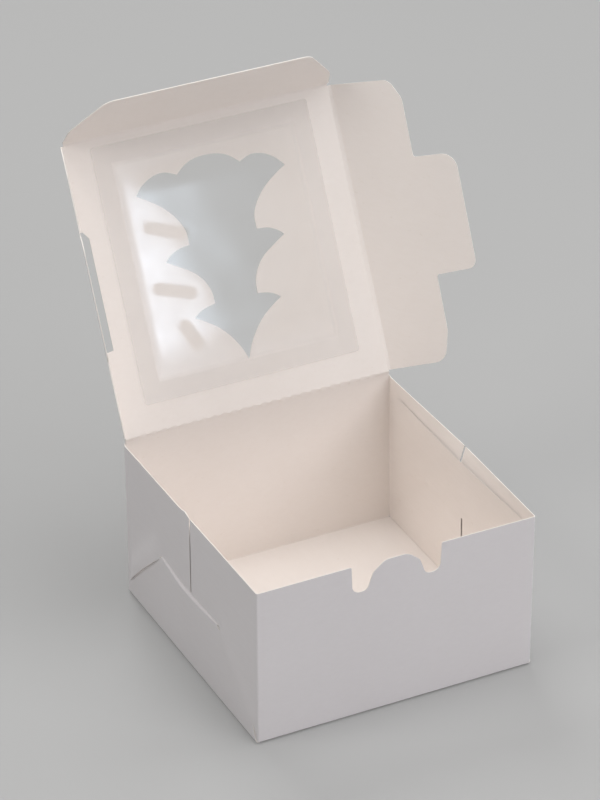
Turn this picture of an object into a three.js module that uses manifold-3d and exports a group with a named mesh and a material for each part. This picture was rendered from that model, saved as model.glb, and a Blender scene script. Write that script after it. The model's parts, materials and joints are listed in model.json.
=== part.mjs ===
// Square one-piece card bakery box with a hinged window lid.
// Millimetres, +Z up. Origin: centre of the underside of the floor.
// +X is to the right along the front wall, +Y runs from the front wall to the back wall.
import * as THREE from 'three';
import { mergeVertices } from 'three/addons/utils/BufferGeometryUtils.js';
import Module from 'manifold-3d';

// ---------------------------------------------------------------- dimensions
const BOX = 160;            // outside width and depth of the tray
const RIM = 91;             // height of the front and side rims
const BACK_TOP = 93.5;      // height of the back wall, just under the lid crease
const CARD = 0.45;          // thickness of the folded tray card
const LAYER = 0.1;          // air between two folded layers of a side wall

const SEAM_Y = -3;          // vertical seam where the two side half panels meet
const SEAM_GAP = 0.4;
const SLIT_Z = 46.6;        // height of the slits that the locking panel passes through
const SLIT_HALF = 1.0;
const LOCK_FOOT = 3;        // height of the locking panel's ends at the tray corners
const NECK = 34;            // half length of the locking panel at the slits
const EAR = 71;             // half length of the locking panel above the slits
const LOCK_TOP = 83.3;      // top edge of the locking panel on the inside
const EAR_R = 7;

const HUMP_X = -0.5;        // centre of the thumb hump in the front rim
const NOTCH_OUT = 25.7;     // half width of the thumb cut, to its outer edges
const NOTCH_DEEP = 16.2;    // depth of the two notches beside the hump
const HUMP_DROP = 0.9;      // how far the top of the hump lies under the rim

const HINGE_Y = 79.75;      // lid crease
const HINGE_Z = 94.25;
const LID_OPEN = 117;       // opening angle at rest, 0 is closed
const LID_T = 0.5;          // lid and flap card
const LID_HALF = 78.7;      // half distance between the side creases of the lid
const LID_LEN = 158.95;     // from the lid crease to the crease of the front flap
const CREASE = 0.45;        // card removed on each side of a crease line
const RECESS_D = 4.5;       // shallow recess in the left edge of the lid
const RECESS_V = [47.5, 112];

const SIDE_BEND = { right: 50, left: 70 };
const SIDE_DEEP = 40;       // side flap without its tab
const TAB_DEEP = 65;        // side flap with its tab
const TAB_V = [48, 112];
const SIDE_V = [0.6, 158.1];
const FRONT_BEND = 58;
const FRONT_DEEP = 34;

const FILM_T = 0.2;
const FILM_GAP = 0.3;       // adhesive line between the film and the card
const FILM = { u0: -63.5, u1: 63.5, v0: 15, v1: 154 };

// Half outline of the scalloped window, from the top centre down to the point.
// Each run is a smooth arc; runs meet in a corner.
const WINDOW_RUNS = [
  [[0, 137.0], [6.5, 136.4], [12.5, 134.3], [18.4, 129.7]],
  [[18.4, 129.7], [25.4, 132.3], [33.0, 131.2], [39.2, 127.6], [43.6, 122.9]],
  [[43.6, 122.9], [38.2, 119.8], [29.6, 113.6], [23.4, 106.6], [20.2, 99.8], [19.9, 92.3]],
  [[19.9, 92.3], [26.3, 91.4], [31.3, 89.2], [34.9, 86.0]],
  [[34.9, 86.0], [28.0, 82.0], [20.6, 77.2], [15.6, 71.4], [13.0, 65.0], [12.6, 58.6]],
  [[12.6, 58.6], [18.2, 57.6], [22.4, 55.9], [25.4, 53.6]],
  [[25.4, 53.6], [19.6, 50.2], [12.8, 45.2], [7.2, 39.0], [3.0, 32.4], [0, 25.3]],
];
const WINDOW_TILT = 0.02;   // the top of the cut-out leans down a little to the right

// ---------------------------------------------------------------- solids
const wasm = await Module();
wasm.setup();

function solid(geometry) {
  const g = geometry.clone();
  g.deleteAttribute('normal');
  g.deleteAttribute('uv');
  const m = mergeVertices(g, 1e-4);
  return new wasm.Manifold(new wasm.Mesh({
    numProp: 3,
    vertProperties: new Float32Array(m.attributes.position.array),
    triVerts: new Uint32Array(m.index.array),
  }));
}

function geometryOf(manifold) {
  const mesh = manifold.getMesh();
  const n = mesh.vertProperties.length / mesh.numProp;
  const pos = new Float32Array(n * 3);
  for (let i = 0; i < n; i++) {
    for (let k = 0; k < 3; k++) pos[i * 3 + k] = mesh.vertProperties[i * mesh.numProp + k];
  }
  const g = new THREE.BufferGeometry();
  g.setAttribute('position', new THREE.BufferAttribute(pos, 3));
  g.setIndex(Array.from(mesh.triVerts));
  g.computeVertexNormals();
  return g;
}

function slab(x0, x1, y0, y1, z0, z1) {
  const g = new THREE.BoxGeometry(x1 - x0, y1 - y0, z1 - z0);
  g.translate((x0 + x1) / 2, (y0 + y1) / 2, (z0 + z1) / 2);
  return solid(g);
}

function shapeOf(points, holes = []) {
  const s = new THREE.Shape(points.map(([x, y]) => new THREE.Vector2(x, y)));
  for (const h of holes) s.holes.push(new THREE.Path(h.map(([x, y]) => new THREE.Vector2(x, y))));
  return s;
}

// Outline in the XY plane, thickened along Z between z0 and z1.
function sheetXY(points, z0, z1, holes = []) {
  const g = new THREE.ExtrudeGeometry(shapeOf(points, holes), { depth: z1 - z0, bevelEnabled: false });
  g.translate(0, 0, z0);
  return g;
}

// Outline given as (x, z), thickened along Y between y0 and y1.
function sheetXZ(points, y0, y1) {
  const g = new THREE.ExtrudeGeometry(shapeOf(points), { depth: y1 - y0, bevelEnabled: false });
  g.rotateX(Math.PI / 2);
  g.translate(0, y1, 0);
  return g;
}

// Outline given as (y, z), thickened along X between x0 and x1.
function sheetYZ(points, x0, x1) {
  const g = new THREE.ExtrudeGeometry(shapeOf(points), { depth: x1 - x0, bevelEnabled: false });
  g.applyMatrix4(new THREE.Matrix4().set(0, 0, 1, x0, 1, 0, 0, 0, 0, 1, 0, 0, 0, 0, 0, 1));
  return g;
}

// Polygon with rounded corners: each entry is [x, y, radius].
function rounded(points, steps = 6) {
  const out = [];
  const n = points.length;
  for (let i = 0; i < n; i++) {
    const [x, y, r = 0] = points[i];
    if (r === 0) { out.push([x, y]); continue; }
    const p = new THREE.Vector2(x, y);
    const a = new THREE.Vector2(...points[(i + n - 1) % n].slice(0, 2)).sub(p).normalize();
    const b = new THREE.Vector2(...points[(i + 1) % n].slice(0, 2)).sub(p).normalize();
    const half = Math.acos(THREE.MathUtils.clamp(a.dot(b), -1, 1)) / 2;
    const back = r / Math.tan(half);
    const p0 = p.clone().addScaledVector(a, back);
    const p2 = p.clone().addScaledVector(b, back);
    const centre = p.clone().addScaledVector(a.clone().add(b).normalize(), r / Math.sin(half));
    const a0 = Math.atan2(p0.y - centre.y, p0.x - centre.x);
    let d = Math.atan2(p2.y - centre.y, p2.x - centre.x) - a0;
    while (d > Math.PI) d -= 2 * Math.PI;
    while (d < -Math.PI) d += 2 * Math.PI;
    for (let k = 0; k <= steps; k++) {
      const t = a0 + (d * k) / steps;
      out.push([centre.x + r * Math.cos(t), centre.y + r * Math.sin(t)]);
    }
  }
  return out;
}

// ---------------------------------------------------------------- tray
const H = BOX / 2;
const lockOut = H;                       // outer face of the locking panel below the slits
const sideOut = H - CARD - LAYER;        // outer face of the half panels, the rim
const lockIn = sideOut - CARD - LAYER;   // outer face of the locking panel above the slits
const floorT = CARD + 0.05;

// Front wall with the thumb hump between two round notches.
const nl = HUMP_X - NOTCH_OUT;
const nr = HUMP_X + NOTCH_OUT;
const frontOutline = rounded([
  [-sideOut, 0], [sideOut, 0], [sideOut, RIM, 1.2],
  [nr, RIM, 1.0], [nr - 0.6, RIM - NOTCH_DEEP, 4.4], [nr - 8.9, RIM - NOTCH_DEEP, 3.8],
  [nr - 12.4, RIM - 6.4, 5.0], [HUMP_X + 6.5, RIM - HUMP_DROP, 8.0],
  [HUMP_X - 6.5, RIM - HUMP_DROP, 8.0], [nl + 12.4, RIM - 6.4, 5.0],
  [nl + 8.9, RIM - NOTCH_DEEP, 3.8], [nl + 0.6, RIM - NOTCH_DEEP, 4.4], [nl, RIM, 1.0],
  [-sideOut, RIM, 1.2],
], 5);

function sideWall(sign) {
  // Built for the right side; the left side is its mirror image in X.
  const half = (y0, y1) => slab(sideOut - CARD, sideOut, y0, y1, floorT + 0.2, RIM);
  const slit = slab(sideOut - CARD - 1, sideOut + 1, -NECK - 0.4, NECK + 0.4,
    SLIT_Z - SLIT_HALF, SLIT_Z + SLIT_HALF);
  const halves = half(-H, SEAM_Y - SEAM_GAP / 2).add(half(SEAM_Y + SEAM_GAP / 2, H)).subtract(slit);
  // Locking panel: outside up to the slits, through them, then inside.
  const profile = [
    [lockOut, 0], [lockOut, SLIT_Z - 0.5], [lockIn, SLIT_Z + 0.6], [lockIn, LOCK_TOP],
    [lockIn - CARD, LOCK_TOP], [lockIn - CARD, SLIT_Z + 0.4], [lockOut - CARD, SLIT_Z - 0.7],
    [lockOut - CARD, 0],
  ];
  const bend = solid(sheetXZ(profile, -H, H));
  const zn = SLIT_Z - SLIT_HALF;
  const zu = SLIT_Z + SLIT_HALF;
  const outline = rounded([
    [-H + 0.2, 0], [H - 0.2, 0], [H - 0.2, LOCK_FOOT], [NECK, zn], [NECK, zu], [EAR, zu + 2.5, 3],
    [EAR, LOCK_TOP, EAR_R], [-EAR, LOCK_TOP, EAR_R], [-EAR, zu + 2.5, 3], [-NECK, zu], [-NECK, zn],
    [-H + 0.2, LOCK_FOOT],
  ], 5);
  const lock = bend.intersect(solid(sheetYZ(outline, lockIn - CARD - 1, lockOut + 1)));
  const wall = halves.add(lock);
  return sign > 0 ? wall : wall.mirror([1, 0, 0]);
}

const tray = slab(-H, H, -H, H, 0, floorT)
  .add(solid(sheetXZ(frontOutline, -H, -H + CARD)))
  .add(slab(-sideOut, sideOut, H - CARD, H, 0, BACK_TOP))
  .add(sideWall(1))
  .add(sideWall(-1));

// ---------------------------------------------------------------- lid
// Lid outlines are drawn in (u, v): u to the right, v from the lid crease to the
// front flap; the third axis points out of the inner face.
function arc(run, steps = 5) {
  const curve = new THREE.CatmullRomCurve3(run.map(([x, y]) => new THREE.Vector3(x, y, 0)), false, 'centripetal');
  return curve.getPoints(steps * (run.length - 1)).map((p) => [p.x, p.y]);
}

const halfWindow = [];
for (const run of WINDOW_RUNS) halfWindow.push(...arc(run, 2).slice(0, -1));
halfWindow.push([0, 25.3]);
const tilt = ([u, v]) => {
  const s = THREE.MathUtils.smoothstep(v, 90, 125);
  return [u, v - WINDOW_TILT * u * s];
};
const windowOutline = [
  ...halfWindow.map(tilt),
  ...halfWindow.slice(1, -1).reverse().map(([u, v]) => tilt([-u, v])),
];

const e = LID_HALF - CREASE;
const lidOutline = [
  [-e, CREASE], [e, CREASE], [e, LID_LEN - CREASE], [-e, LID_LEN - CREASE],
  [-e, RECESS_V[1] + 1.5], [-e + 1.2, RECESS_V[1] - 0.5], [-LID_HALF + RECESS_D, RECESS_V[1] - 4],
  [-LID_HALF + RECESS_D, RECESS_V[0]], [-e, RECESS_V[0] - 0.6],
];
const lidPanel = sheetXY(lidOutline, -LID_T / 2, LID_T / 2, [windowOutline]);

const film = sheetXY(rounded([
  [FILM.u0, FILM.v0, 1.5], [FILM.u1, FILM.v0, 1.5], [FILM.u1, FILM.v1, 1.5], [FILM.u0, FILM.v1, 1.5],
], 3), LID_T / 2 + FILM_GAP, LID_T / 2 + FILM_GAP + FILM_T);

// Side flap: w away from the crease, v along it.
const flapOutline = rounded([
  [CREASE, SIDE_V[0]], [SIDE_DEEP - 5.5, SIDE_V[0], 8], [SIDE_DEEP - 0.6, SIDE_V[0] + 16, 10],
  [SIDE_DEEP, TAB_V[0] - 0.5, 1.5], [TAB_DEEP - 0.6, TAB_V[0], 5], [TAB_DEEP, TAB_V[1] - 1.5, 9],
  [SIDE_DEEP + 0.4, TAB_V[1], 1.5], [SIDE_DEEP + 0.8, SIDE_V[1] - 14, 8], [SIDE_DEEP - 5.0, SIDE_V[1] - 3.0, 7],
  [CREASE, SIDE_V[1]],
], 6);
const rightFlap = sheetXY(flapOutline, -LID_T / 2, LID_T / 2);
const leftFlap = geometryOf(solid(rightFlap).mirror([1, 0, 0]));

const f = LID_HALF - 0.6;
const frontFlap = sheetXY(rounded([
  [-f, CREASE], [f, CREASE], [f - 1.8, 12, 9], [f - 19, FRONT_DEEP, 9],
  [-f + 19, FRONT_DEEP, 9], [-f + 1.8, 12, 9],
], 6), -LID_T / 2, LID_T / 2);

// ---------------------------------------------------------------- scene graph
const cardWhite = () => new THREE.MeshStandardMaterial({ color: 0xece9e6, roughness: 0.62, metalness: 0 });
const clearFilm = () => new THREE.MeshStandardMaterial({
  color: 0xf4f8fb, roughness: 0.06, metalness: 0, transparent: true, opacity: 0.25,
});

function piece(name, geometry, material) {
  const m = new THREE.Mesh(geometry, material);
  m.name = name;
  return m;
}

const rad = THREE.MathUtils.degToRad;
const box = new THREE.Group();
box.add(piece('tray', geometryOf(tray), cardWhite()));

const lid = new THREE.Group();
lid.position.set(0, HINGE_Y, HINGE_Z);
lid.rotation.x = rad(180 - LID_OPEN);
lid.add(piece('lid_panel', lidPanel, cardWhite()));
lid.add(piece('window_film', film, clearFilm()));

const right = new THREE.Group();
right.position.set(LID_HALF, 0, 0);
right.rotation.y = rad(-SIDE_BEND.right);
right.add(piece('right_flap', rightFlap, cardWhite()));
lid.add(right);

const left = new THREE.Group();
left.position.set(-LID_HALF, 0, 0);
left.rotation.y = rad(SIDE_BEND.left);
left.add(piece('left_flap', leftFlap, cardWhite()));
lid.add(left);

const front = new THREE.Group();
front.position.set(0, LID_LEN, 0);
front.rotation.x = rad(FRONT_BEND);
front.add(piece('front_flap', frontFlap, cardWhite()));
lid.add(front);

box.add(lid);

export default box;
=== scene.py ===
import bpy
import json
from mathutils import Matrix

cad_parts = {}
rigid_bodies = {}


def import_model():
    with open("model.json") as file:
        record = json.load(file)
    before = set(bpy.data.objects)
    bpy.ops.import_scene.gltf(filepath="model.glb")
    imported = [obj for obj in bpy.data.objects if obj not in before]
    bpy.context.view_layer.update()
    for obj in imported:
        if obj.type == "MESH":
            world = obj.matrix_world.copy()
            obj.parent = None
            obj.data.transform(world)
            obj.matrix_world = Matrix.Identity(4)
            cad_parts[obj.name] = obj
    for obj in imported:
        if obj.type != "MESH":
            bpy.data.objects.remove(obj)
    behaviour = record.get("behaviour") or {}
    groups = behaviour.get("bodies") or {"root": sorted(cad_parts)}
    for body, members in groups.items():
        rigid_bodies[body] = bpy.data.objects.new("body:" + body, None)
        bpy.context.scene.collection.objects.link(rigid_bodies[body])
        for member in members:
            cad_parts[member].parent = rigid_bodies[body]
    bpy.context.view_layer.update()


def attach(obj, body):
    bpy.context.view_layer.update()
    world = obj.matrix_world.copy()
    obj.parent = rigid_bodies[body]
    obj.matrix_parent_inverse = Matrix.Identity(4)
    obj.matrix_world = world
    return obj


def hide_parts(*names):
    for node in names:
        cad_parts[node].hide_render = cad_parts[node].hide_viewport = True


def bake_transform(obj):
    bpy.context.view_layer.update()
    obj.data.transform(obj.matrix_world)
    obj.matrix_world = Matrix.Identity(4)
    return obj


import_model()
import json
import math

import bpy
import numpy as np
from mathutils import Matrix, Vector
from mathutils.geometry import delaunay_2d_cdt

# ------------------------------------------------------------------ sizes, mm
H = 80.0
RIM = 91.0
CARD = 0.45
SIDE_M = 79.225          # middle of the half panels
WALL_M = 79.775          # middle of the front and back walls
LOCK_M = 79.775          # locking panel outside
LOCK_I = 78.675          # locking panel inside
FLOOR_M = 0.25
SEAM_R = (-3.7, -2.4)      # ends of the front and back half panels
SEAM_L = (-1.7, -0.6)
SLIT = (46.3, 47.15)
LOCK_TOP = 83.3
O = np.array([0.0, 79.75, 94.25])
PHI = math.radians(117)
U = np.array([1.0, 0, 0])
D = np.array([0.0, -math.cos(PHI), math.sin(PHI)])
N = np.array([0.0, -math.sin(PHI), -math.cos(PHI)])
LID_LEN = 158.95
LID_HALF = 78.7
LT = 0.5


# ------------------------------------------------------------------ outlines
def rounded(points, steps=6):
    out = []
    n = len(points)
    for i in range(n):
        x, y = points[i][:2]
        r = points[i][2] if len(points[i]) > 2 else 0
        if not r:
            out.append((x, y))
            continue
        p = np.array([x, y], float)
        a = np.array(points[i - 1][:2], float) - p
        b = np.array(points[(i + 1) % n][:2], float) - p
        a /= np.linalg.norm(a)
        b /= np.linalg.norm(b)
        half = math.acos(max(-1, min(1, float(a @ b)))) / 2
        back = r / math.tan(half)
        p0, p2 = p + a * back, p + b * back
        m = a + b
        c = p + m / np.linalg.norm(m) * (r / math.sin(half))
        a0 = math.atan2(p0[1] - c[1], p0[0] - c[0])
        dd = math.atan2(p2[1] - c[1], p2[0] - c[0]) - a0
        while dd > math.pi:
            dd -= 2 * math.pi
        while dd < -math.pi:
            dd += 2 * math.pi
        for k in range(steps + 1):
            t = a0 + dd * k / steps
            out.append((c[0] + r * math.cos(t), c[1] + r * math.sin(t)))
    return out


def catmull(run, steps=8):
    """Centripetal Catmull-Rom through the points of one scallop."""
    p = [np.array(q, float) for q in run]
    p = [2 * p[0] - p[1]] + p + [2 * p[-1] - p[-2]]
    out = []
    for i in range(1, len(p) - 2):
        q = p[i - 1 : i + 3]
        t = [0.0]
        for k in range(3):
            t.append(t[-1] + max(np.linalg.norm(q[k + 1] - q[k]), 1e-9) ** 0.5)
        for k in range(steps):
            s = t[1] + (t[2] - t[1]) * k / steps
            a = [((t[j + 1] - s) * q[j] + (s - t[j]) * q[j + 1]) / (t[j + 1] - t[j]) for j in range(3)]
            b = [((t[j + 2] - s) * a[j] + (s - t[j]) * a[j + 1]) / (t[j + 2] - t[j]) for j in range(2)]
            out.append(((t[2] - s) * b[0] + (s - t[1]) * b[1]) / (t[2] - t[1]))
    return [tuple(x) for x in out] + [tuple(run[-1])]


def smooth(x):
    x = min(1, max(0, x))
    return x * x * (3 - 2 * x)


class Fold:
    """A folded line in a plane: straight runs joined by arcs, by distance along the sharp line."""

    def __init__(self, points, radii, side):
        self.p = [np.array(q, float) for q in points]
        self.side = side
        self.at = [0.0]
        for a, b in zip(self.p, self.p[1:]):
            self.at.append(self.at[-1] + np.linalg.norm(b - a))
        self.dirs = [(b - a) / np.linalg.norm(b - a) for a, b in zip(self.p, self.p[1:])]
        self.bends = []
        for i, r in enumerate(radii):
            a, b = self.dirs[i], self.dirs[i + 1]
            turn = math.atan2(a[0] * b[1] - a[1] * b[0], a @ b)
            self.bends.append((self.at[i + 1], r, turn, r * math.tan(abs(turn) / 2)))

    def normal(self, d):
        return self.side * np.array([-d[1], d[0]])

    def __call__(self, s):
        for i, (c, r, turn, tl) in enumerate(self.bends):
            if abs(s - c) < tl:
                f = (s - c + tl) / (2 * tl)
                d0 = self.dirs[i]
                start = self.p[i + 1] - d0 * tl
                sg = 1 if turn > 0 else -1
                left = np.array([-d0[1], d0[0]]) * sg
                ang = abs(turn) * f
                pos = start + r * (math.sin(ang) * d0 + (1 - math.cos(ang)) * left)
                d = math.cos(ang) * d0 + math.sin(ang) * left
                return pos, self.normal(d)
        k = 0
        while k < len(self.dirs) - 1 and s > self.at[k + 1]:
            k += 1
        return self.p[k] + self.dirs[k] * (s - self.at[k]), self.normal(self.dirs[k])

    def lines(self, n=8):
        out = []
        for c, r, turn, tl in self.bends:
            out += [c - tl * 1.02] + [c - tl + 2 * tl * k / n for k in range(n + 1)] + [c + tl * 1.02]
        return out


def inside(poly, q):
    x, y = q[:, 0], q[:, 1]
    ok = np.zeros(len(q), bool)
    n = len(poly)
    for i in range(n):
        x0, y0 = poly[i]
        x1, y1 = poly[(i + 1) % n]
        if y0 == y1:
            continue
        c = ((y0 > y) != (y1 > y)) & (x < (x1 - x0) * (y - y0) / (y1 - y0) + x0)
        ok ^= c
    return ok


def distance(poly, q):
    best = np.full(len(q), 1e9)
    n = len(poly)
    for i in range(n):
        a = np.array(poly[i], float)
        b = np.array(poly[(i + 1) % n], float)
        ab = b - a
        t = np.clip(((q - a) @ ab) / max(ab @ ab, 1e-12), 0, 1)
        best = np.minimum(best, np.linalg.norm(q - (a + t[:, None] * ab), axis=1))
    return best


def resample(poly, step, sl=(), tl=()):
    out = []
    n = len(poly)
    for i in range(n):
        a = np.array(poly[i], float)
        b = np.array(poly[(i + 1) % n], float)
        length = np.linalg.norm(b - a)
        if length < 1e-6:
            continue
        ts = set(k / max(1, int(math.ceil(length / step))) for k in range(max(1, int(math.ceil(length / step)))))
        for axis, values in ((0, sl), (1, tl)):
            if abs(b[axis] - a[axis]) > 1e-6:
                for v in values:
                    t = (v - a[axis]) / (b[axis] - a[axis])
                    if 1e-4 < t < 1 - 1e-4:
                        ts = set(q for q in ts if q == 0 or abs(q - t) * length > 0.05)
                        ts.add(t)
        for t in sorted(ts):
            out.append(tuple(a + t * (b - a)))
    return out


def sheet(name, outline, place, body=None, mats=(), th=CARD, step=4.0, holes=(), sl=(), tl=(), warp=None, off=None):
    """A piece of card: outline in (s, t), place(s, t) gives the middle surface and the outer normal, in mm."""
    sl, tl = list(sl), list(tl)
    loops = [resample(outline, step, sl, tl)] + [resample(h, step, sl, tl) for h in holes]
    pts, edges = [], []
    for loop in loops:
        base = len(pts)
        pts += loop
        edges += [(base + i, base + (i + 1) % len(loop)) for i in range(len(loop))]
    lo = np.min(np.array(outline), axis=0)
    hi = np.max(np.array(outline), axis=0)

    def axis_values(a, b, extra):
        n = max(1, int(round((b - a) / step)))
        v = [a + (b - a) * k / n for k in range(1, n)]
        v = [q for q in v if all(abs(q - e) > step * 0.3 for e in extra)]
        return sorted(v + [e for e in extra if a < e < b])

    xs, ys = axis_values(lo[0], hi[0], sl), axis_values(lo[1], hi[1], tl)
    g = np.array([(x, y) for x in xs for y in ys], float).reshape(-1, 2)
    if len(g):
        keep = inside(outline, g)
        for h in holes:
            keep &= ~inside(h, g)
        g = g[keep]
        near = distance(outline, g)
        for h in holes:
            near = np.minimum(near, distance(h, g))
        dense = np.zeros(len(g), bool)
        for e in sl:
            dense |= np.abs(g[:, 0] - e) < 1e-6
        for e in tl:
            dense |= np.abs(g[:, 1] - e) < 1e-6
        g = g[(near > step * 0.35) | (dense & (near > 0.25))]
    allp = [Vector(p) for p in pts] + [Vector(p) for p in g]
    v2, _, f2, ov, _, _ = delaunay_2d_cdt(allp, edges, [], 1, 1e-5)
    v2 = np.array([tuple(v) for v in v2], float)
    tri = np.array([f for f in f2 if len(f) == 3], int)
    cen = v2[tri].mean(axis=1)
    keep = inside(outline, cen)
    for h in holes:
        keep &= ~inside(h, cen)
    tri = tri[keep]
    area = 0.5 * np.cross(v2[tri[:, 1]] - v2[tri[:, 0]], v2[tri[:, 2]] - v2[tri[:, 0]])
    tri = tri[np.abs(area) > 1e-7]
    flip = 0.5 * np.cross(v2[tri[:, 1]] - v2[tri[:, 0]], v2[tri[:, 2]] - v2[tri[:, 0]]) < 0
    tri[flip] = tri[flip][:, ::-1]
    used = np.unique(tri)
    remap = -np.ones(len(v2), int)
    remap[used] = np.arange(len(used))
    v2, tri = v2[used], remap[tri]
    mid, nor, o_out, o_in = [], [], [], []
    for s, t in v2:
        p, nn = place(s, t)
        a, b = off(s, t) if off else (th / 2, th / 2)
        mid.append(p)
        nor.append(nn)
        o_out.append(a)
        o_in.append(b)
    mid, nor = np.array(mid), np.array(nor)
    outer = mid + nor * np.array(o_out)[:, None]
    inner = mid - nor * np.array(o_in)[:, None]
    tn = np.cross(outer[tri[:, 1]] - outer[tri[:, 0]], outer[tri[:, 2]] - outer[tri[:, 0]])
    if (tn * nor[tri[:, 0]]).sum() < 0:
        up, down = tri[:, ::-1], tri
    else:
        up, down = tri, tri[:, ::-1]
    if warp:
        outer, inner = warp(outer), warp(inner)
    n = len(v2)
    count = {}
    for f in up:
        for a, b in ((f[0], f[1]), (f[1], f[2]), (f[2], f[0])):
            count[(a, b)] = count.get((a, b), 0) + 1
    rim = [(a, b) for a, b in count if (b, a) not in count]
    faces = [tuple(f) for f in up] + [tuple(f + n) for f in down]
    idx = [0] * len(up) + [1] * len(down)
    for a, b in rim:
        faces.append((b, a, a + n, b + n))
        idx.append(2)
    me = bpy.data.meshes.new(name)
    me.from_pydata([tuple(p / 1000) for p in np.vstack([outer, inner])], [], [tuple(int(i) for i in f) for f in faces])
    me.polygons.foreach_set("material_index", idx)
    me.polygons.foreach_set("use_smooth", [True] * len(faces))
    for m in mats:
        me.materials.append(m)
    sharp = set()
    for a, b in rim:
        sharp.add((min(a, b), max(a, b)))
        sharp.add((min(a, b) + n, max(a, b) + n))
    at = me.attributes.new("sharp_edge", "BOOLEAN", "EDGE")
    at.data.foreach_set("value", [(min(e.vertices), max(e.vertices)) in sharp for e in me.edges])
    me.update()
    ob = bpy.data.objects.new(name, me)
    bpy.context.scene.collection.objects.link(ob)
    if body:
        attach(ob, body)
    return ob


# ------------------------------------------------------------------ materials
def material(name):
    m = bpy.data.materials.new(name)
    m.use_nodes = True
    nt = m.node_tree
    nt.nodes.clear()
    out = nt.nodes.new("ShaderNodeOutputMaterial")
    return m, nt, out


def node(nt, kind, **inputs):
    n = nt.nodes.new(kind)
    for k, v in inputs.items():
        n.inputs[k.replace("_", " ")].default_value = v
    return n


def noise(nt, coord, scale, detail=3.0, rough=0.55, stretch=None, rot=None, dist=0.0):
    src = coord
    if stretch is not None or rot is not None:
        mp = nt.nodes.new("ShaderNodeMapping")
        mp.inputs["Scale"].default_value = stretch or (1, 1, 1)
        mp.inputs["Rotation"].default_value = rot or (0, 0, 0)
        nt.links.new(coord, mp.inputs["Vector"])
        src = mp.outputs["Vector"]
    n = nt.nodes.new("ShaderNodeTexNoise")
    n.inputs["Scale"].default_value = scale
    n.inputs["Detail"].default_value = detail
    n.inputs["Roughness"].default_value = rough
    n.inputs["Distortion"].default_value = dist
    nt.links.new(src, n.inputs["Vector"])
    return n.outputs["Fac"]


def ramp(nt, src, lo, hi, a, b):
    n = nt.nodes.new("ShaderNodeMapRange")
    n.inputs["From Min"].default_value = lo
    n.inputs["From Max"].default_value = hi
    n.inputs["To Min"].default_value = a
    n.inputs["To Max"].default_value = b
    nt.links.new(src, n.inputs["Value"])
    return n.outputs["Result"]


def mix_colour(nt, fac, a, b):
    n = nt.nodes.new("ShaderNodeMix")
    n.data_type = "RGBA"
    for sock, v in ((n.inputs[6], a), (n.inputs[7], b)):
        if isinstance(v, tuple):
            sock.default_value = (*v, 1)
        else:
            nt.links.new(v, sock)
    nt.links.new(fac, n.inputs[0])
    return n.outputs[2]


def math_node(nt, op, a, b):
    n = nt.nodes.new("ShaderNodeMath")
    n.operation = op
    for sock, v in ((n.inputs[0], a), (n.inputs[1], b)):
        if isinstance(v, (int, float)):
            sock.default_value = v
        else:
            nt.links.new(v, sock)
    return n.outputs[0]


def card(name, light, dark, fleck, rough, fibre, bump_mm, fleck_amount):
    m, nt, out = material(name)
    tc = nt.nodes.new("ShaderNodeTexCoord").outputs["Object"]
    cloud = noise(nt, tc, 14, 4, 0.6)
    fine = noise(nt, tc, 900, 4, 0.65)
    strands = noise(nt, tc, 260, 5, 0.7, stretch=(1.0, 0.22, 1.9), rot=(0.4, 0.9, 0.6), dist=0.6)
    strands2 = noise(nt, tc, 300, 4, 0.7, stretch=(0.3, 1.6, 1.0), rot=(1.1, 0.2, 2.0), dist=0.5)
    tone = math_node(nt, "ADD", math_node(nt, "MULTIPLY", cloud, 0.55), math_node(nt, "MULTIPLY", strands, 0.45))
    base = mix_colour(nt, ramp(nt, tone, 0.36, 0.64, 0, 1), dark, light)
    spots = ramp(nt, noise(nt, tc, 420, 2, 0.4, stretch=(1, 0.45, 1.4), rot=(0.2, 0.5, 1.2)), 0.70, 0.78, 0, fleck_amount)
    base = mix_colour(nt, spots, base, fleck)
    p = nt.nodes.new("ShaderNodeBsdfPrincipled")
    nt.links.new(base, p.inputs["Base Color"])
    nt.links.new(ramp(nt, fine, 0.3, 0.7, rough[0], rough[1]), p.inputs["Roughness"])
    p.inputs["Specular IOR Level"].default_value = 0.14
    h = math_node(nt, "ADD", math_node(nt, "MULTIPLY", fine, 1 - fibre), math_node(nt, "MULTIPLY", math_node(nt, "ADD", strands, strands2), fibre * 0.5))
    b = nt.nodes.new("ShaderNodeBump")
    b.inputs["Strength"].default_value = 0.5
    b.inputs["Distance"].default_value = bump_mm / 1000
    nt.links.new(h, b.inputs["Height"])
    nt.links.new(b.outputs["Normal"], p.inputs["Normal"])
    nt.links.new(p.outputs["BSDF"], out.inputs["Surface"])
    return m


outer_mat = card("card_outside", (0.865, 0.835, 0.845), (0.838, 0.806, 0.815), (0.74, 0.71, 0.72), (0.42, 0.58), 0.25, 0.05, 0.12)
inner_mat = card("card_inside", (0.935, 0.877, 0.836), (0.910, 0.848, 0.802), (0.80, 0.72, 0.65), (0.72, 0.90), 0.75, 0.09, 0.25)
edge_mat = card("card_edge", (0.93, 0.90, 0.86), (0.87, 0.82, 0.76), (0.76, 0.70, 0.64), (0.80, 0.95), 0.9, 0.12, 0.30)
# painted shade: near-black card colours for the cut ends at the right seam, standing in for the shadow in the gap
seam_painted_shade_mat = card("card_seam_painted_shade", (0.33, 0.30, 0.28), (0.27, 0.25, 0.23), (0.20, 0.18, 0.16), (0.80, 0.95), 0.9, 0.12, 0.30)
CARDS = (outer_mat, inner_mat, edge_mat)


# ------------------------------------------------------------------ tray
LEAN = {  # rim corners, dx and dy at the rim
    (-1, 1): (-0.03, 0.0), (-1, -1): (0.6, 0.1), (1, -1): (1.1, 0.0), (1, 1): (-0.6, 0.1),
}


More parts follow.
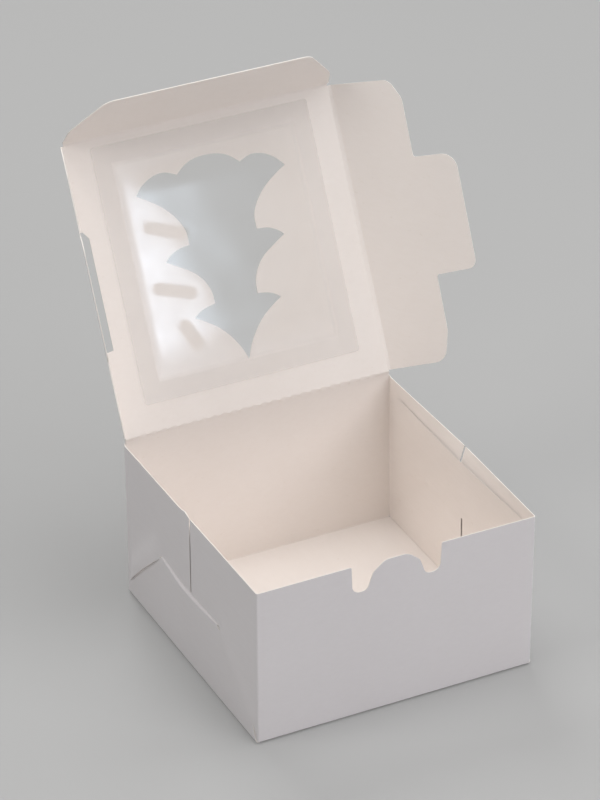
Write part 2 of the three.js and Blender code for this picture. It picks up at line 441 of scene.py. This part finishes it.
def tray_warp(p):
    """Leans the rim a little out of square, and bows each wall as folded card does."""
    p = np.array(p, float).reshape(-1, 3)
    x, y, z = p[:, 0], p[:, 1], p[:, 2]
    a, b = np.clip((x + H) / (2 * H), 0, 1), np.clip((y + H) / (2 * H), 0, 1)
    h = np.clip(z / RIM, 0, 1.02)
    dx = sum(((1 - a) if i < 0 else a) * ((1 - b) if j < 0 else b) * LEAN[(i, j)][0] for i, j in LEAN)
    dy = sum(((1 - a) if i < 0 else a) * ((1 - b) if j < 0 else b) * LEAN[(i, j)][1] for i, j in LEAN)
    bow = np.sin(np.pi * b)
    tent = 1 - np.sqrt(((y + 3) / 77) ** 2 + 0.004)
    tent = np.clip(tent / (1 - 0.004 ** 0.5), 0, 1)
    right = np.clip((x - 70) / 8, 0, 1)
    left = np.clip((-x - 70) / 8, 0, 1)
    up = np.clip((z - 48) / (LOCK_TOP - 48), 0, 1) ** 1.2
    in_r = right * np.clip((78.92 - x) / 0.05, 0, 1) * (z > 47)
    in_l = left * np.clip((x + 78.92) / 0.05, 0, 1) * (z > 47)
    tip = np.clip((z - 81.5) / 9.5, 0, 1)
    side = right * (1 - in_r) * ((1.6 * bow * np.minimum(up, 1) + 1.35 * tent) * tip - 1.6 * bow * np.minimum(up, 1)) - in_r * 1.75 * bow * up
    side += -left * (1 - in_l) * 0.05 * tent * h + in_l * 1.3 * bow * up
    # the slanted ends of the locking panels go under the half panels, which stand out there
    ay = np.abs(y)
    past = (z - (46.4 - (ay - 34.0) * 43.4 / 45.75)) * 0.71
    k = 1 - np.clip((past - 2.5) / 12, 0, 1)
    k = k * k * (3 - 2 * k) * (past > 0) * np.clip((ay - 35.2) / 6, 0, 1) * np.clip((76.8 - ay) / 6, 0, 1)
    rear_left = (x < 0) & (y > 0)
    on_half = (np.abs(x) < 79.5) & (np.abs(x) > 78.9)
    side += np.sign(x) * k * on_half * np.where(rear_left, 1.9, 1.15)
    # and their top fold stands away from the wall between the slit's ends
    k = np.clip((np.abs(x) - 78.9) / 0.65, 0, 1) * ((z < 47.3) & (np.abs(x) > 78.0) & ~on_half) * np.cos(np.pi * np.clip(y / 70, -0.5, 0.5)) * np.clip(z / 46, 0, 1) ** 1.6
    side += np.sign(x) * k * np.where(x < 0, 1.2, 0.6)
    front = np.clip((-y - 70) / 8, 0, 1) * np.sin(np.pi * a) * 0.30 * h
    back = -np.clip((y - 70) / 8, 0, 1) * np.sin(np.pi * a) * 0.45 * np.sin(np.pi * np.clip(z / 93, 0, 1))
    floor = np.sin(np.pi * a) * np.sin(np.pi * b) * 0.35 * np.clip(1 - z / 2, 0, 1)
    out = p.copy()
    out[:, 0] += dx * h + side
    out[:, 1] += dy * h + front + back
    out[:, 2] += floor
    # the left locking panel sits a little askew in its slits
    askew = np.interp(y, [-76, -36, 8, 34, 56, 76], [0, -1.4, -2.0, 0.6, 1.9, 1.4])
    out[:, 2] += askew * left * np.clip((z - 1) / 9, 0, 1) * np.clip((78 - z) / 26, 0, 1)
    # the panel corners beside the left seam stand up a little where the card was pushed together
    seam = left * np.exp(-(((y - 5.0) / 3.0) ** 2)) * np.clip((z - 84) / 7, 0, 1)
    out[:, 2] += 0.7 * seam
    out[:, 0] += 0.42 * seam
    return out


front_path = Fold([(SIDE_M, SEAM_R[0]), (SIDE_M, -WALL_M), (-SIDE_M, -WALL_M), (-SIDE_M, SEAM_L[0])], (0.75, 0.75), 1)
back_path = Fold([(SIDE_M, SEAM_R[1]), (SIDE_M, WALL_M), (-SIDE_M, WALL_M), (-SIDE_M, SEAM_L[1])], (0.75, 0.75), -1)
c1, c2, cs = front_path.at[1], front_path.at[2], front_path.at[3]
b1, b2, bs = back_path.at[1], back_path.at[2], back_path.at[3]
TONGUE = 3.0
TONGUE_X = 78.35
R_BOT = 0.7


def wrap(path, sign):
    def place(s, t):
        p, n = path(s)
        foot = FLOOR_M + R_BOT
        if t < foot and abs(p[0]) < TONGUE_X + 0.02:
            if t > FLOOR_M - R_BOT:
                a = (foot - t) / (2 * R_BOT) * math.pi / 2
                y = WALL_M - R_BOT * (1 - math.cos(a))
                z = foot - R_BOT * math.sin(a)
                return np.array([p[0], sign * y, z]), np.array([0, sign * math.cos(a), -math.sin(a)])
            y = WALL_M - (FLOOR_M - t)
            return np.array([p[0], sign * y, FLOOR_M]), np.array([0, 0, -1.0])
        return np.array([p[0], p[1], t]), np.array([n[0], n[1], 0])

    return place


def sx(x):
    return c1 + SIDE_M - x


HX, NO, ND = -0.5, 25.7, 16.2
nl, nr = HX - NO, HX + NO
neck_r, neck_l = 34.4 + SEAM_R[0], 34.4 + SEAM_L[0]
cut = rounded([
    (sx(nr), RIM, 1.0), (sx(nr - 0.6), RIM - ND, 4.4), (sx(nr - 8.9), RIM - ND, 3.8),
    (sx(nr - 12.4), RIM - 6.4, 5.0), (sx(HX + 6.5), RIM - 0.9, 8.0), (sx(HX - 6.5), RIM - 0.9, 8.0),
    (sx(nl + 12.4), RIM - 6.4, 5.0), (sx(nl + 8.9), RIM - ND, 3.8), (sx(nl + 0.6), RIM - ND, 4.4),
    (sx(nl), RIM, 1.0), (sx(nl - 20), RIM + 0.01), (sx(nr + 20), RIM + 0.01),
], 10)[:-2]
outline = (
    [(0, RIM), (0, SLIT[1]), (neck_r, SLIT[1]), (neck_r, SLIT[0]), (0, SLIT[0]), (0, 0.7), (sx(TONGUE_X), 0.7), (sx(TONGUE_X), -TONGUE), (sx(-TONGUE_X), -TONGUE), (sx(-TONGUE_X), 0.7), (cs, 0.7), (cs, SLIT[0]), (cs - neck_l, SLIT[0]), (cs - neck_l, SLIT[1]), (cs, SLIT[1]), (cs, RIM)]
    + cut[::-1]
)


def slanted_slit(s_of_y, sg):
    """The 45 degree slit in a half panel, as a thin hole in (s, z)."""
    ys = np.linspace(35.0, 77.0, 15)
    mid = [(y, 46.4 - (y - 34.0) * 43.4 / 45.75) for y in ys]
    w = [0.0] + [0.09] * 13 + [0.0]
    upper = [(s_of_y(sg * (y + 0.7 * q)), z + 0.7 * q) for (y, z), q in zip(mid, w)]
    lower = [(s_of_y(sg * (y - 0.7 * q)), z - 0.7 * q) for (y, z), q in zip(mid, w)]
    return upper + lower[1:-1][::-1]


def seam_off(end):
    def off(s, t):
        d_ = min(s, end - s)
        k = smooth(1 - d_ / 2.5)
        return CARD / 2 - 0.13 * k, CARD / 2 - 0.13 * k

    return off


bot = [FLOOR_M + R_BOT * 1.02] + [FLOOR_M - R_BOT + 2 * R_BOT * k / 6 for k in range(7)] + [FLOOR_M - R_BOT * 1.02]
front = sheet("front_wrap", outline, wrap(front_path, -1), "tray", CARDS, step=4.0, sl=front_path.lines() + [1.2, 2.5, cs - 1.2, cs - 2.5], tl=bot, warp=tray_warp, off=seam_off(cs), holes=[slanted_slit(lambda y: SEAM_R[0] - y, -1), slanted_slit(lambda y: c2 + y + WALL_M, -1)])

TOP_B = 92.6
nb, nb_l = 34.4 - SEAM_R[1], 34.4 - SEAM_L[1]
outline = [
    (0, RIM), (0, SLIT[1]), (nb, SLIT[1]), (nb, SLIT[0]), (0, SLIT[0]), (0, 0.7),
    (b1 + SIDE_M - TONGUE_X, 0.7), (b1 + SIDE_M - TONGUE_X, -TONGUE), (b1 + SIDE_M + TONGUE_X, -TONGUE), (b1 + SIDE_M + TONGUE_X, 0.7),
    (bs, 0.7), (bs, SLIT[0]), (bs - nb_l, SLIT[0]), (bs - nb_l, SLIT[1]), (bs, SLIT[1]), (bs, RIM),
    (b2 + 1.3, RIM), (b2 - 1.0, TOP_B), (b1 + 1.0, TOP_B), (b1 - 1.3, RIM),
]
back = sheet("back_wrap", outline, wrap(back_path, 1), "tray", CARDS, step=3.0, sl=back_path.lines() + [1.2, 2.5, bs - 1.2, bs - 2.5], tl=bot, warp=tray_warp, off=seam_off(bs), holes=[slanted_slit(lambda y: y - SEAM_R[1], 1), slanted_slit(lambda y: b2 + WALL_M - y, 1)])

lock_path = Fold(
    [(LOCK_I, LOCK_TOP), (LOCK_I, 47.0), (LOCK_M, 46.4), (LOCK_M, FLOOR_M), (-LOCK_M, FLOOR_M), (-LOCK_M, 46.4), (-LOCK_I, 47.0), (-LOCK_I, LOCK_TOP)],
    (0.45, 0.45, 0.7, 0.7, 0.45, 0.45), 1)


def place_lock(s, t):
    p, n = lock_path(s)
    return np.array([p[0], t, p[1]]), np.array([n[0], 0, n[1]])


L = lock_path.at
half = [
    (0, 71.0, 7.0), (LOCK_TOP - 50.1, 71.0, 3.0), (LOCK_TOP - 47.6, 34.0), (L[2] + 0.5, 34.0), (L[2] + 1.0, 37.4),
    (L[2] + 34.5, 72.6), (L[2] + 41.3, 77.0), (L[2] + 45.3, 78.7), (L[3] + LOCK_M - TONGUE_X, 79.7), (L[3] + LOCK_M - TONGUE_X, WALL_M - TONGUE - FLOOR_M),
]
total = L[-1]
top = [(s, t, *r) for s, t, *r in half] + [(total - s, t, *r) for s, t, *r in half[::-1]]
outline = rounded([(s, -t, *r) for s, t, *r in top] + top[::-1], 8)


def lock_off(s, t):
    """Full thickness on the outer panels; the card thins a little over the last 2.5 mm to the top edges of the inner
    panels.
    """
    z = s - L[2] if s < total / 2 else total - s - L[2]
    z = 46.4 - z
    if not 0.3 < z < 46.9:
        k = smooth(1 - min(s, total - s) / 2.5)
        return CARD / 2 - 0.14 * k, CARD / 2 - 0.14 * k
    return CARD / 2, CARD / 2


lock = sheet("floor_and_locks", outline, place_lock, "tray", CARDS, step=4.0, sl=lock_path.lines(6) + [1.2, 2.5, total - 1.2, total - 2.5], warp=tray_warp, off=lock_off)
# the cut ends at the right seam get a near-black card colour: painted shade standing in for the shadow in the gap
for ob in (front, back):
    ob.data.materials.append(seam_painted_shade_mat)
    for f in ob.data.polygons:
        c = f.center
        if f.material_index == 2 and c.x > 0.07 and SEAM_R[0] - 0.4 < c.y * 1000 < SEAM_R[1] + 0.4 and c.z < 0.0905:
            f.material_index = 3
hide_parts("tray")
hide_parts("tray")
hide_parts("tray")


# ------------------------------------------------------------------ lid
def lid_bow(u, v):
    return 0.5 * math.sin(math.pi * v / LID_LEN) * math.cos(math.pi * u / 160) ** 2


def place_lid(u, v):
    return O + U * u + D * v + N * lid_bow(u, v), -N


WINDOW_RUNS = [
    [[0, 137.0], [6.5, 136.4], [12.5, 134.3], [18.4, 129.7]],
    [[18.4, 129.7], [25.4, 132.3], [33.0, 131.2], [39.2, 127.6], [43.6, 122.9]],
    [[43.6, 122.9], [38.2, 119.8], [29.6, 113.6], [23.4, 106.6], [20.2, 99.8], [19.9, 92.3]],
    [[19.9, 92.3], [26.3, 91.4], [31.3, 89.2], [34.9, 86.0]],
    [[34.9, 86.0], [28.0, 82.0], [20.6, 77.2], [15.6, 71.4], [13.0, 65.0], [12.6, 58.6]],
    [[12.6, 58.6], [18.2, 57.6], [22.4, 55.9], [25.4, 53.6]],
    [[25.4, 53.6], [19.6, 50.2], [12.8, 45.2], [7.2, 39.0], [3.0, 32.4], [0, 25.3]],
]
halfw = []
for run in WINDOW_RUNS:
    halfw += catmull(run, 6)[:-1]
halfw.append((0, 25.3))


def tilt(q):
    s = min(1, max(0, (q[1] - 90) / 35))
    s = s * s * (3 - 2 * s)
    return (q[0], q[1] - 0.02 * q[0] * s)


window = [tilt(q) for q in halfw] + [tilt((-u, v)) for u, v in halfw[1:-1][::-1]]
SIDE_U = 77.3            # the side crease strips begin here
E0 = 0.9                 # and the hinge and front strips here
outline = [
    (-SIDE_U, E0), (SIDE_U, E0), (SIDE_U, LID_LEN - E0), (-SIDE_U, LID_LEN - E0),
    (-SIDE_U, 111.9), (-74.2, 108), (-74.2, 47.5), (-SIDE_U, 47.0),
]
lid = sheet("lid_card", outline, place_lid, "lid", CARDS, th=LT, step=3.6, holes=[window])
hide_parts("lid_panel")


def flap_place(origin_u, origin_v, e, nrm, along, curl):
    base = O + U * origin_u + D * origin_v

    def place(w, v):
        c = curl(w, v)
        return base + along * v + e * w - nrm * c, nrm

    return place


BR, BL, BF = math.radians(50), math.radians(70), math.radians(58)
eR, nR = math.cos(BR) * U + math.sin(BR) * N, math.sin(BR) * U - math.cos(BR) * N
eL, nL = -math.cos(BL) * U + math.sin(BL) * N, -math.sin(BL) * U - math.cos(BL) * N
eF, nF = math.cos(BF) * D + math.sin(BF) * N, math.sin(BF) * D - math.cos(BF) * N
W0 = 1.4
flap = rounded([
    (W0, 0.6), (34.5, 0.6, 8), (39.4, 16.6, 10), (40, 47.5, 1.5), (64.4, 48, 5), (65, 110.5, 9),
    (40.4, 112, 1.5), (40.8, 144.1, 8), (35, 155.1, 7), (W0, 158.1),
], 8)
right_flap = sheet("right_flap_card", flap, flap_place(LID_HALF, 0, eR, nR, D, lambda w, v: 0.9 * (w / 65) ** 2 + 0.25 * math.sin(v / 24) * (w / 65)), "right_flap", CARDS, th=LT, step=3.6)
left_flap = sheet("left_flap_card", flap, flap_place(-LID_HALF, 0, eL, nL, D, lambda w, v: 0.5 * (w / 65) ** 2), "left_flap", CARDS, th=LT, step=3.6)
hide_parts("right_flap")
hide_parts("left_flap")
f = 78.1
ff = rounded([(-f + 0.15, W0), (f - 0.15, W0), (f - 1.8, 12, 9), (f - 19, 34, 9), (-f + 19, 34, 9), (-f + 1.8, 12, 9)], 8)
front_flap = sheet("front_flap_card", ff, lambda u, w: (O + D * LID_LEN + U * u + eF * w - nF * 0.35 * (w / 34) ** 2, nF), "front_flap", CARDS, th=LT, step=3.6)
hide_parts("front_flap")


# Crease strips: the card goes round the fold, with a raised bead on the inside.
def strip(name, path2, frame3, span, bead=0.22, th=LT, lines=14):
    """path2 is a Fold in (p, q); frame3 maps (p, q) and the place along the crease to mm."""
    c = path2.bends[0][0]
    length = path2.at[-1]

    def place(s, t):
        p, n = path2(s)
        return frame3(p, t), frame3(n, 0, True)

    def off(s, t):
        x = (s - c) / 0.62
        g = math.exp(-x * x)
        x2 = (abs(s - c) - 0.95) / 0.28
        return th / 2 - 0.16 * g, th / 2 + bead * g - 0.07 * math.exp(-x2 * x2)

    out = [(0, span[0]), (length, span[0]), (length, span[1]), (0, span[1])]
    n = lines
    ob = sheet(name, out, place, None, CARDS, th=th, step=6.0, sl=[length * k / n for k in range(1, n)], off=off)
    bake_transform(ob)
    return ob


def m(v):
    return tuple(float(x) / 1000 for x in v)


def yz(p, t, vec=False):
    return np.array([0 if vec else t, p[0], p[1]])


e0 = O + D * E0
hinge = strip("hinge_crease", Fold([(WALL_M, TOP_B), (O[1] + 0.01, O[2] - 0.1), (e0[1], e0[2])], (0.9,), -1), yz, (-78.2, 78.2))
sides = []
for tag, sg, e3, spans in (("right", 1, eR, [(0.6, 158.1)]), ("left", -1, eL, [(0.6, 47.0), (111.9, 158.1)])):
    du, dn = float(e3 @ U), float(e3 @ N)
    path = Fold([(sg * SIDE_U, 0), (sg * LID_HALF, 0), (sg * LID_HALF + du * W0, dn * W0)], (0.8,), -sg)

    def side_frame(p, t, vec=False):
        return U * p[0] + N * p[1] + (0 if vec else O + D * t)

    for k, span in enumerate(spans):
        sides.append(strip(f"{tag}_crease_{k}", path, side_frame, span))
path = Fold([(LID_LEN - E0, 0), (LID_LEN, 0), (LID_LEN + float(eF @ D) * W0, float(eF @ N) * W0)], (0.7,), -1)


def front_frame(p, t, vec=False):
    return D * p[0] + N * p[1] + (0 if vec else O + U * t)


sides.append(strip("front_crease", path, front_frame, (-77.3, 77.3)))


# ------------------------------------------------------------------ film
def film_material():
    m_, nt, out = material("clear_film_sheet")
    tc = nt.nodes.new("ShaderNodeTexCoord").outputs["Object"]
    at = nt.nodes.new("ShaderNodeAttribute")
    at.attribute_name = "glue"
    band = at.outputs["Fac"]
    smear = noise(nt, tc, 60, 4, 0.6)
    clear = nt.nodes.new("ShaderNodeBsdfTransparent")
    clear.inputs["Color"].default_value = (0.984, 0.982, 0.979, 1)
    gloss = nt.nodes.new("ShaderNodeBsdfGlossy")
    gloss.inputs["Color"].default_value = (0.98, 0.99, 1.0, 1)
    nt.links.new(ramp(nt, smear, 0.3, 0.7, 0.19, 0.25), gloss.inputs["Roughness"])
    # a thin sheet mirrors alike from both of its faces
    lw = nt.nodes.new("ShaderNodeLayerWeight")
    lw.inputs["Blend"].default_value = 0.5
    fres = math_node(nt, "ADD", math_node(nt, "MULTIPLY", math_node(nt, "POWER", lw.outputs["Facing"], 5.0), 0.96), 0.04)
    a = nt.nodes.new("ShaderNodeMixShader")
    at2 = nt.nodes.new("ShaderNodeAttribute")
    at2.attribute_name = "dab"
    shine = math_node(nt, "MULTIPLY", ramp(nt, band, 0, 1, 0.42, 0.10), math_node(nt, "SUBTRACT", 1.0, at2.outputs["Fac"]))
    nt.links.new(math_node(nt, "MULTIPLY", fres, shine), a.inputs[0])
    nt.links.new(clear.outputs[0], a.inputs[1])
    nt.links.new(gloss.outputs[0], a.inputs[2])
    milk = nt.nodes.new("ShaderNodeBsdfDiffuse")
    milk.inputs["Color"].default_value = (0.97, 0.955, 0.95, 1)
    b = nt.nodes.new("ShaderNodeMixShader")
    nt.links.new(math_node(nt, "ADD", math_node(nt, "MULTIPLY", band, 0.13), ramp(nt, smear, 0.35, 0.7, 0.004, 0.018)), b.inputs[0])
    nt.links.new(a.outputs[0], b.inputs[1])
    nt.links.new(milk.outputs[0], b.inputs[2])
    nt.links.new(b.outputs[0], out.inputs["Surface"])
    return m_


film_mat = film_material()
FU, FV0, FV1 = 63.5, 15.0, 154.0
IN = 14.5


GLUE = [((-40.5, 106.0), (-23.0, 99.2), 2.7), ((-42.5, 73.4), (-25.2, 67.4), 2.6), ((-32.4, 50.5), (-27.6, 40.5), 3.0)]


def dab(u, v, soft=1.6):
    """1 on the adhesive dabs that hold the film to the scallops, 0 away from them."""
    best = 0.0
    for a, b, r in GLUE:
        ax, ay, bx, by = a[0], a[1], b[0] - a[0], b[1] - a[1]
        t = min(1, max(0, ((u - ax) * bx + (v - ay) * by) / (bx * bx + by * by)))
        d_ = math.hypot(u - ax - t * bx, v - ay - t * by)
        best = max(best, smooth((r + soft - d_) / soft))
    return best


def film_h(u, v):
    arch = 1.5 * max(0.0, 1 - (u / 49.0) ** 2)
    arch *= smooth((139.5 - v) / 17) * smooth((v - 29.0) / 20)
    h = arch + arch * (0.055 * math.sin(v / 6.5 + 0.6 * math.sin(u / 9)) + 0.04 * math.sin(u / 5.3 + v / 13))
    return 0.66 + lid_bow(u, v) + h * (1 - 0.05 * dab(u, v, 6.0))


def place_film(u, v):
    e = 0.5
    hu = (film_h(u + e, v) - film_h(u - e, v)) / (2 * e)
    hv = (film_h(u, v + e) - film_h(u, v - e)) / (2 * e)
    nn = N - U * hu - D * hv
    return O + U * u + D * v + N * film_h(u, v), -nn / np.linalg.norm(nn)


film = sheet("window_film_sheet", rounded([(-FU, FV0, 1.5), (FU, FV0, 1.5), (FU, FV1, 1.5), (-FU, FV1, 1.5)], 4), place_film, "lid", (film_mat,), th=0.18, step=1.6)
film.data.polygons.foreach_set("material_index", [0] * len(film.data.polygons))
vals, dabs = [], []
for v in film.data.vertices:
    q = np.array(v.co) * 1000 - O
    u_, v_ = float(q @ U), float(q @ D)
    edge_d = min(FU - abs(u_), v_ - FV0, FV1 - v_)
    vals.append(1 - smooth((edge_d - 10.0) / 2.0))
    dabs.append(0.85 * dab(u_, v_, 1.8))
ga = film.data.attributes.new("glue", "FLOAT", "POINT")
ga.data.foreach_set("value", vals)
da = film.data.attributes.new("dab", "FLOAT", "POINT")
da.data.foreach_set("value", dabs)
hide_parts("window_film")

# ------------------------------------------------------------------ stage
m_floor, nt, out = material("paper_floor")
tc = nt.nodes.new("ShaderNodeTexCoord").outputs["Object"]
p = nt.nodes.new("ShaderNodeBsdfPrincipled")
nt.links.new(mix_colour(nt, noise(nt, tc, 5, 3, 0.5), (0.361, 0.361, 0.358), (0.369, 0.369, 0.366)), p.inputs["Base Color"])
p.inputs["Roughness"].default_value = 0.95
p.inputs["Specular IOR Level"].default_value = 0.1
p.inputs["Emission Color"].default_value = (1, 1, 0.995, 1)
p.inputs["Emission Strength"].default_value = 0.10
nt.links.new(p.outputs["BSDF"], out.inputs["Surface"])
me = bpy.data.meshes.new("floor")
me.from_pydata([(-6, -6, -0.0009), (6, -6, -0.0009), (6, 6, -0.0009), (-6, 6, -0.0009)], [], [(0, 1, 2, 3)])
me.materials.append(m_floor)
floor = bpy.data.objects.new("floor", me)
bpy.context.scene.collection.objects.link(floor)


def area(name, pos, target, size, power, colour=(1, 1, 1), size_y=None, spread=None):
    la = bpy.data.lights.new(name, "AREA")
    la.shape = "RECTANGLE"
    la.size = size
    la.size_y = size_y or size
    la.energy = power
    la.color = colour
    if spread:
        la.spread = spread
    ob = bpy.data.objects.new(name, la)
    ob.location = pos
    ob.rotation_euler = (Vector(target) - Vector(pos)).to_track_quat("-Z", "Y").to_euler()
    bpy.context.scene.collection.objects.link(ob)
    return ob


area("overhead", (0.3, -0.2, 2.4), (0, 0, 0), 2.2, 26.5)
area("key", (0.42, -1.85, 0.80), (-0.02, 0.1, 0.17), 0.62, 5.7, (1.0, 0.98, 1.0), size_y=0.75)
area("top", (0, 0.1, 2.6), (0, 0, 0.08), 1.0, 4.2)
area("front_high", (-0.9, -1.9, 2.2), (0, 0, 0.08), 1.2, 3.6, (1.0, 0.98, 1.0))
area("left_high", (-2.0, 0.2, 1.9), (0, 0, 0.08), 1.2, 16.8, (1.0, 0.985, 0.96))
area("right_high", (2.0, -0.2, 1.9), (0, 0, 0.08), 1.2, 8.0)
area("right_front", (1.3, -1.9, 1.4), (0, 0, 0.08), 1.0, 9.3, (1.0, 0.98, 1.0))
area("back_high", (0.2, 2.0, 2.2), (0, 0, 0.08), 1.2, 29.0)
for o in bpy.data.objects:
    if o.type == "LIGHT":
        o.visible_glossy = False
window_lights = [
    area("window_light", (0.3156, -1.765, 0.76), (0, 0.12, 0.175), 0.56, 8.6, (0.78, 0.88, 1.0), size_y=0.74),
    area("window_bright", (0.37, -1.76, 0.76), (0, 0.12, 0.175), 0.22, 9.0, (0.70, 0.84, 1.0), size_y=0.74),
]
for o in window_lights:
    o.visible_diffuse = False
world = bpy.data.worlds.new("studio")
world.use_nodes = True
world.node_tree.nodes["Background"].inputs["Color"].default_value = (1.0, 1.0, 1.0, 1)
world.node_tree.nodes["Background"].inputs["Strength"].default_value = 0.095
bpy.context.scene.world = world

# ------------------------------------------------------------------ camera
az, el, roll = math.radians(-26.06), math.radians(31.04), math.radians(-0.52)
backv = np.array([math.sin(az) * math.cos(el), -math.cos(az) * math.cos(el), math.sin(el)])
fwd = -backv
right = np.cross(fwd, [0, 0, 1])
right /= np.linalg.norm(right)
upv = np.cross(right, fwd)
R2 = math.cos(roll) * right + math.sin(roll) * upv
U2 = -math.sin(roll) * right + math.cos(roll) * upv
cam = bpy.data.cameras.new("camera")
cam.sensor_width = 36
cam.sensor_fit = "AUTO"
cam.lens = 4194 * 36 / 800
cam.clip_end = 50
co = bpy.data.objects.new("camera", cam)
co.matrix_world = Matrix((
    (R2[0], U2[0], backv[0], -0.82512), (R2[1], U2[1], backv[1], -1.65744),
    (R2[2], U2[2], backv[2], 1.2544), (0, 0, 0, 1)))
bpy.context.scene.collection.objects.link(co)
bpy.context.scene.camera = co
bpy.context.scene.view_settings.view_transform = "Standard"
